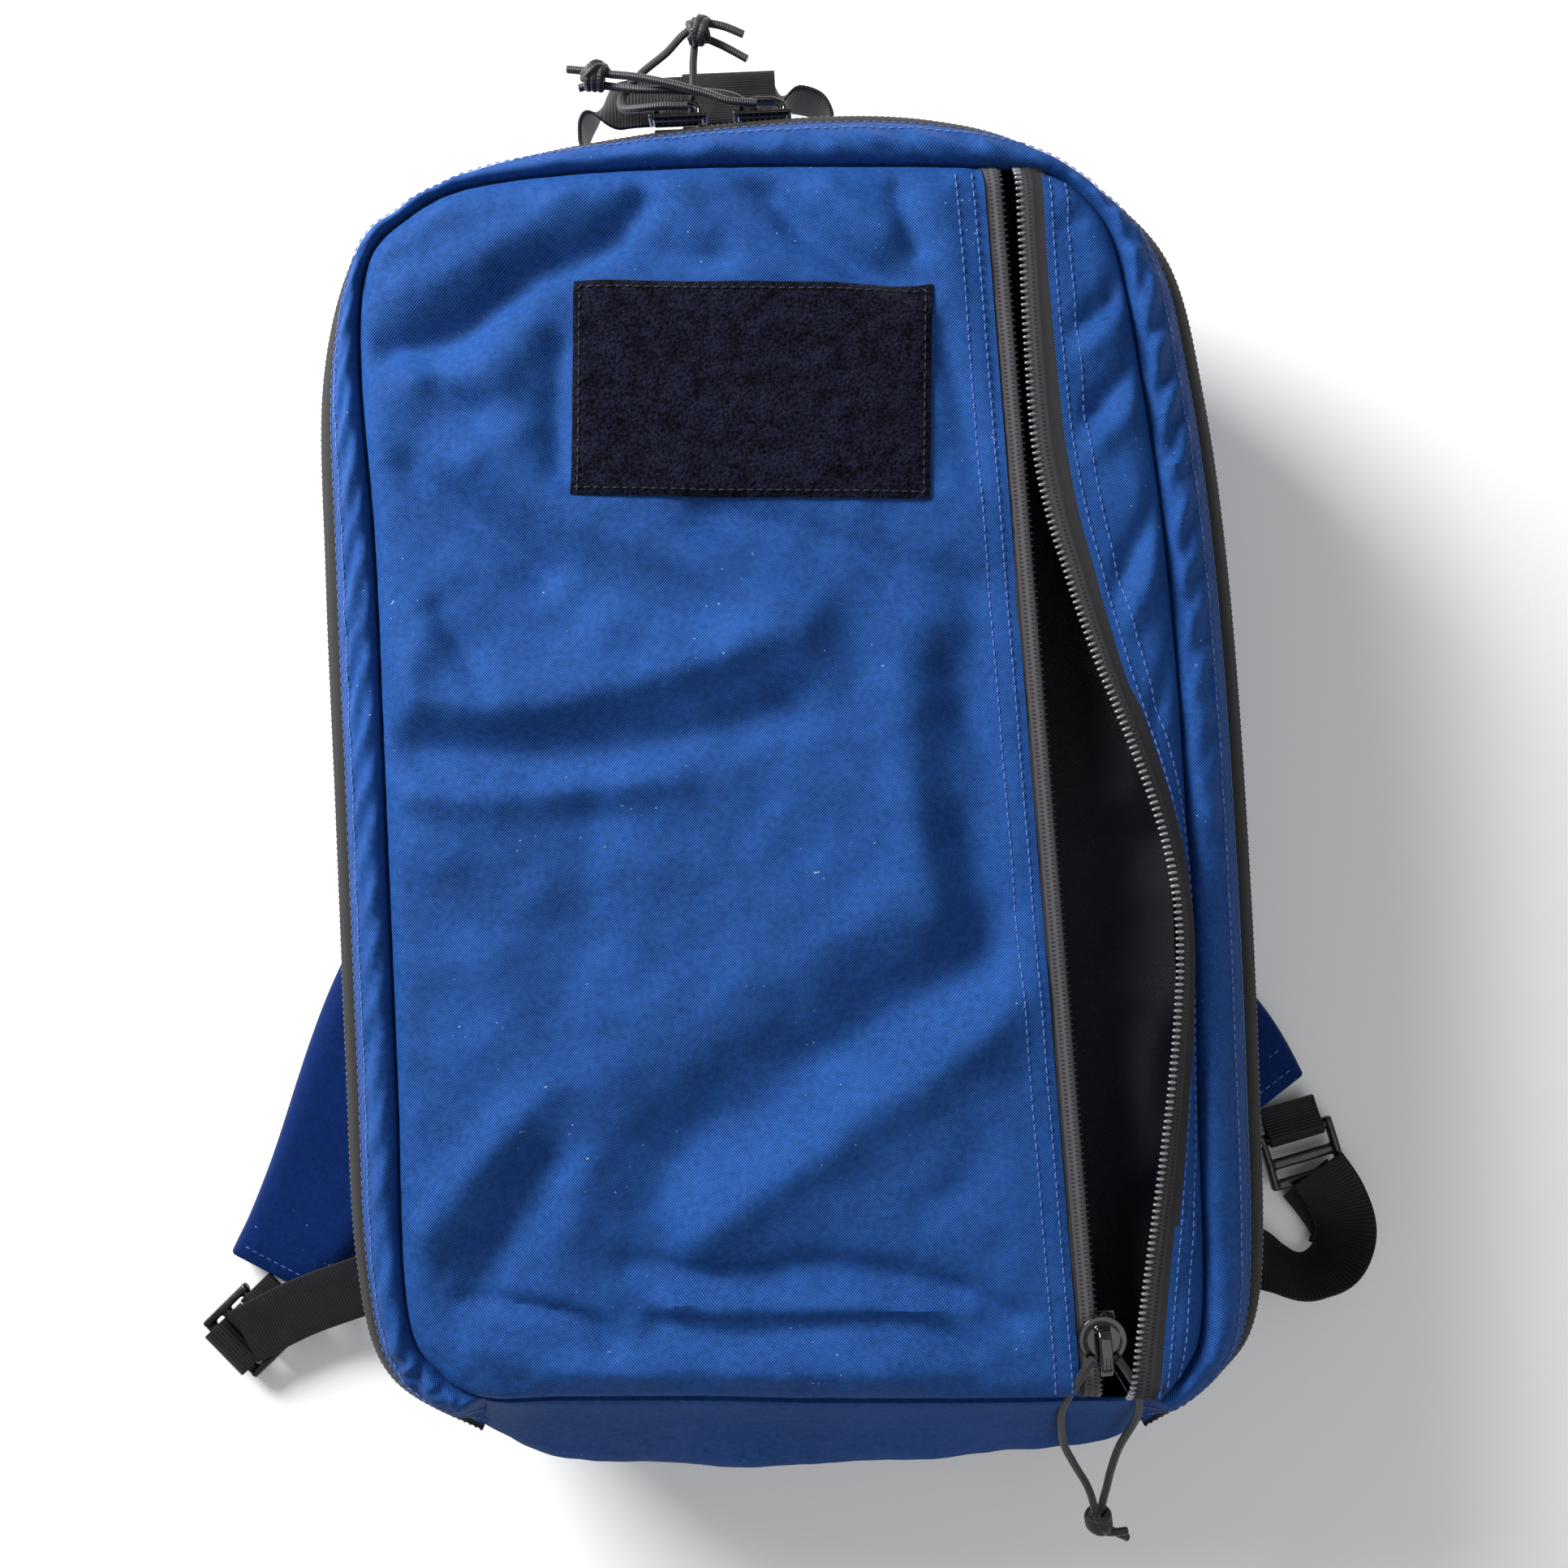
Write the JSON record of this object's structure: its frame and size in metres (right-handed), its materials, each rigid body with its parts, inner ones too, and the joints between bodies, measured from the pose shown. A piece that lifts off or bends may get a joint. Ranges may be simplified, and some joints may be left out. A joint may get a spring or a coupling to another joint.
{
  "type": "trauma backpack",
  "caption": "Clamshell medical backpack in plain-weave cloth with a zipped front pocket, a loop patch, corded zipper pulls, a carry handle and padded shoulder straps.",
  "frame": {"origin": "on the floor at the middle of the pack's box, with the pack lying on its back", "axes": "+Z from the back panel to the front, +Y to the carry handle, +X to the right seen from the front"},
  "size_m": [0.5017, 0.5973, 0.1367],
  "materials": {
    "blue_cloth": "coarse plain weave",
    "black_mesh": "spacer mesh",
    "white_plastic": "smooth sheet",
    "black_lining": "coated plain weave with a soft sheen",
    "loop_fabric": "napped loop",
    "black_elastic": "ribbed elastic",
    "zip_tape": "knitted tape",
    "zip_teeth": "glossy",
    "black_webbing": "ribbed webbing",
    "slider_metal": "gloss black",
    "shock_cord": "braided sheath",
    "foam": "closed-cell foam",
    "buckle_plastic": "fine-grained"
  },
  "bodies": {
    "pack": {"back_pad": "black_mesh", "frame_sheet": "white_plastic", "back_panel": "blue_cloth", "rear_lining": "black_lining", "rear_gusset": "blue_cloth", "bottom_panel": "blue_cloth", "strap_yoke": "blue_cloth", "loop_field_inside": "loop_fabric", "elastic_bands": "black_elastic", "main_zip_tape_rear": "zip_tape", "main_zip_teeth_rear": "zip_teeth", "anchor_tab_left": "blue_cloth", "anchor_tab_right": "blue_cloth", "lower_webbing_left": "black_webbing", "lower_webbing_right": "black_webbing"},
    "handle": {"handle_webbing": "black_webbing", "handle_sleeve": "black_webbing"},
    "lid": {"front_gusset": "blue_cloth", "bottom_panel_flap": "blue_cloth", "front_panel": "blue_cloth", "loop_patch": "loop_fabric", "pocket_lining": "black_lining", "lid_mesh_pocket": "black_mesh", "main_zip_tape_front": "zip_tape", "main_zip_teeth_front": "zip_teeth", "front_zip_tape_left": "zip_tape", "front_zip_teeth_left": "zip_teeth"},
    "zip_lip": {"side_panel": "blue_cloth", "front_zip_tape_right": "zip_tape", "front_zip_teeth_right": "zip_teeth"},
    "front_slider": {"front_slider": "slider_metal"},
    "front_pull": {"front_cord": "shock_cord", "front_knot": "shock_cord"},
    "main_slider_left": {"main_slider_left": "slider_metal"},
    "main_pull_left": {"main_cord_left": "shock_cord", "main_knot_left": "shock_cord"},
    "main_slider_right": {"main_slider_right": "slider_metal"},
    "main_pull_right": {"main_cord_right": "shock_cord", "main_knot_right": "shock_cord"},
    "strap_left": {"strap_cover_left": "blue_cloth", "strap_foam_left": "foam", "strap_loop_left": "black_webbing"},
    "ladder_lock_left": {"ladder_lock_left": "buckle_plastic", "webbing_tail_left": "black_webbing"},
    "strap_right": {"strap_cover_right": "blue_cloth", "strap_foam_right": "foam", "strap_loop_right": "black_webbing", "webbing_tail_right": "black_webbing"},
    "ladder_lock_right": {"ladder_lock_right": "buckle_plastic"}
  },
  "joints": [
    {"name": "lid_hinge", "type": "hinge", "parent": "pack", "child": "lid", "pos_m": [0.0096, -0.27, 0.085], "axis": [1, 0, 0], "range_deg": [0, 180], "deforming": ["bottom_panel_flap"]},
    {"name": "front_slider_slide", "type": "slide", "parent": "lid", "child": "front_slider", "axis": [-0.041, 0.9992, 0], "range_m": [0, 0.398]},
    {"name": "zip_lip_close", "type": "slide", "parent": "lid", "child": "zip_lip", "axis": [-0.9512, 0, -0.3085], "range_m": [0, 0.0389], "deforming": ["side_panel", "front_zip_tape_right", "front_zip_teeth_right"]},
    {"name": "front_pull_lift", "type": "hinge", "parent": "front_slider", "child": "front_pull", "pos_m": [0.1112, -0.2195, 0.1295], "axis": [-0.9992, -0.041, 0], "range_deg": [0, 120], "deforming": ["front_cord", "front_knot"]},
    {"name": "main_slider_left_slide", "type": "slide", "parent": "pack", "child": "main_slider_left", "axis": [-1, 0, 0], "range_m": [0, 0.03]},
    {"name": "main_pull_left_swing", "type": "hinge", "parent": "main_slider_left", "child": "main_pull_left", "pos_m": [-0.0184, 0.243, 0.085], "axis": [0, 0, -1], "range_deg": [0, 45], "deforming": ["main_cord_left"]},
    {"name": "main_slider_right_slide", "type": "slide", "parent": "pack", "child": "main_slider_right", "axis": [1, 0, 0], "range_m": [0, 0.06]},
    {"name": "main_pull_right_swing", "type": "hinge", "parent": "main_slider_right", "child": "main_pull_right", "pos_m": [0.0076, 0.243, 0.085], "axis": [0, 0, -1], "range_deg": [0, 60], "deforming": ["main_cord_right"]},
    {"name": "handle_swing", "type": "hinge", "parent": "pack", "child": "handle", "pos_m": [-0.0124, 0.239, 0.06], "axis": [1, 0, 0], "range_deg": [-70, 0], "deforming": ["handle_webbing"]},
    {"name": "strap_left_swing", "type": "hinge", "parent": "pack", "child": "strap_left", "pos_m": [-0.0454, 0.174, 0.006], "axis": [0, 0, 1], "range_deg": [-6, 6], "deforming": ["lower_webbing_left"]},
    {"name": "ladder_lock_left_tilt", "type": "hinge", "parent": "strap_left", "child": "ladder_lock_left", "pos_m": [-0.2234, -0.2305, 0.008], "axis": [-0.6691, 0.7431, 0], "range_deg": [0, 20]},
    {"name": "strap_right_swing", "type": "hinge", "parent": "pack", "child": "strap_right", "pos_m": [0.0646, 0.174, 0.006], "axis": [0, 0, 1], "range_deg": [-6, 6], "deforming": ["lower_webbing_right"]},
    {"name": "ladder_lock_right_tilt", "type": "hinge", "parent": "strap_right", "child": "ladder_lock_right", "pos_m": [0.2191, -0.171, 0.008], "axis": [-0.9703, -0.2419, 0], "range_deg": [0, 20]}
  ],
  "couplings": [
    {"joint": "zip_lip_close", "follows": "front_slider_slide", "ratio": 0.0977}
  ]
}
